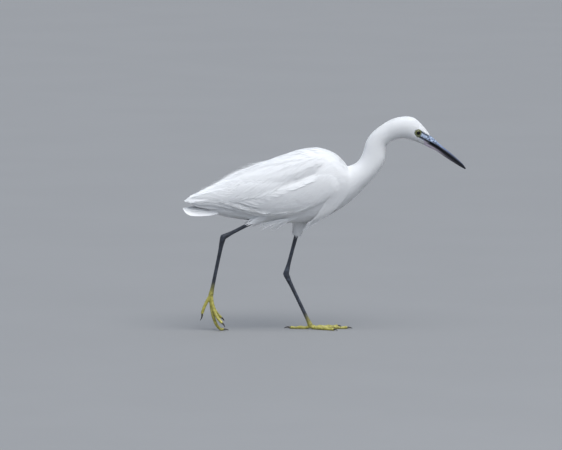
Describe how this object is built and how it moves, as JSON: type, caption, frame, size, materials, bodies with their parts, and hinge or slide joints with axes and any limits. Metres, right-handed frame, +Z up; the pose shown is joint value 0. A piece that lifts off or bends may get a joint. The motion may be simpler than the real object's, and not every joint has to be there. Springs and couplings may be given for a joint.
{
  "type": "little egret figure",
  "caption": "Life-size still figure of a little egret wading with its neck held forward, one foot flat on the floor and the other about to lift.",
  "frame": {"origin": "on the floor, in the middle of the bird's length and width", "axes": "+X the way the bird faces, +Z up, its right side is -Y"},
  "size_m": [0.4864, 0.0898, 0.369],
  "materials": {
    "plumage": "soft matt white feathers",
    "bill": "satin horn, blue-grey at the base",
    "eye": "clear wet gloss over an olive-yellow iris",
    "leg": "scaled blackish skin with a soft sheen",
    "toe": "scaled greenish-yellow skin",
    "claw": "satin dark horn"
  },
  "bodies": {
    "root": {"trunk": "plumage", "neck_lower": "plumage", "neck_upper": "plumage", "head": "plumage", "bill_upper": "bill", "bill_lower": "bill", "eye_left": "eye", "eye_right": "eye", "wing_left": "plumage", "wing_right": "plumage", "tail": "plumage", "plume_breast": "plumage", "plume_flank": "plumage", "thigh_left": "plumage", "shin_left": "leg", "tarsus_left": "leg", "toe_middle_left": "toe", "claw_middle_left": "claw", "toe_outer_left": "toe", "claw_outer_left": "claw", "toe_inner_left": "toe", "claw_inner_left": "claw", "toe_hind_left": "toe", "claw_hind_left": "claw", "thigh_right": "plumage", "shin_right": "leg", "tarsus_right": "leg", "toe_middle_right": "toe", "claw_middle_right": "claw", "toe_outer_right": "toe", "claw_outer_right": "claw", "toe_inner_right": "toe", "claw_inner_right": "claw", "toe_hind_right": "toe", "claw_hind_right": "claw"}
  },
  "joints": []
}
